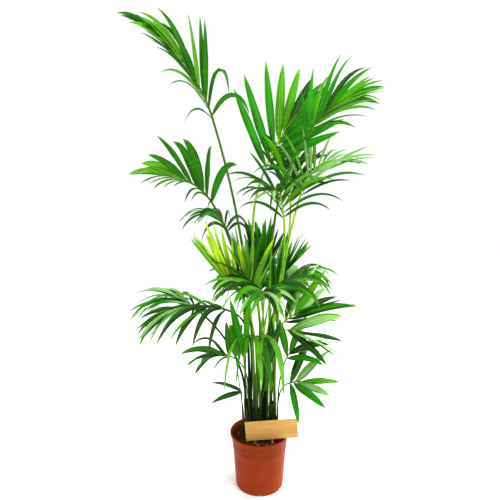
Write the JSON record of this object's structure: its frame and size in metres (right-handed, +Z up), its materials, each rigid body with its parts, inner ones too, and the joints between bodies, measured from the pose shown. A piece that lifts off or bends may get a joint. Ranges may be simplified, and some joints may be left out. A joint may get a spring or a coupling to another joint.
{
  "type": "potted kentia palm",
  "caption": "Tall clump-grown kentia palm in a round nursery pot: slender upright stalks carry arching pinnate fronds, with low young leaves and a blank wooden label.",
  "frame": {"origin": "centre of the pot's flat underside, on the surface that it stands on", "axes": "+Z up, +X to the right and -Y towards the viewer, seen from the side of the blank label"},
  "size_m": [0.9536, 0.7812, 1.8481],
  "materials": {
    "pot": "satin",
    "soil": "matte",
    "label": "matte",
    "stem": "matte",
    "petiole": "satin",
    "frond": "satin",
    "seedling": "satin"
  },
  "bodies": {
    "root": {"pot": "pot", "soil": "soil", "label": "label", "stem_1": "stem", "stem_2": "stem", "stem_3": "stem", "stem_4": "stem", "stem_5": "stem", "stem_6": "stem", "petiole_01": "petiole", "petiole_02": "petiole", "petiole_03": "petiole", "petiole_04": "petiole", "petiole_05": "petiole", "petiole_06": "petiole", "petiole_07": "petiole", "petiole_08": "petiole", "petiole_09": "petiole", "petiole_10": "petiole", "petiole_11": "petiole", "petiole_12": "petiole", "petiole_13": "petiole", "petiole_14": "petiole", "petiole_15": "petiole", "petiole_16": "petiole", "petiole_17": "petiole", "petiole_18": "petiole", "petiole_19": "petiole", "petiole_20": "petiole", "petiole_21": "petiole", "petiole_22": "petiole", "petiole_23": "petiole", "seedling_1": "seedling", "seedling_2": "seedling", "seedling_3": "seedling", "seedling_4": "seedling", "seedling_5": "seedling", "frond_01": "frond", "frond_02": "frond", "frond_03": "frond", "frond_04": "frond", "frond_05": "frond", "frond_06": "frond", "frond_07": "frond", "frond_08": "frond", "frond_09": "frond", "frond_10": "frond", "frond_11": "frond", "frond_12": "frond", "frond_13": "frond", "frond_14": "frond", "frond_15": "frond", "frond_16": "frond", "frond_17": "frond", "frond_18": "frond", "frond_19": "frond", "frond_20": "frond", "frond_21": "frond", "frond_22": "frond", "frond_23": "frond"}
  },
  "joints": []
}
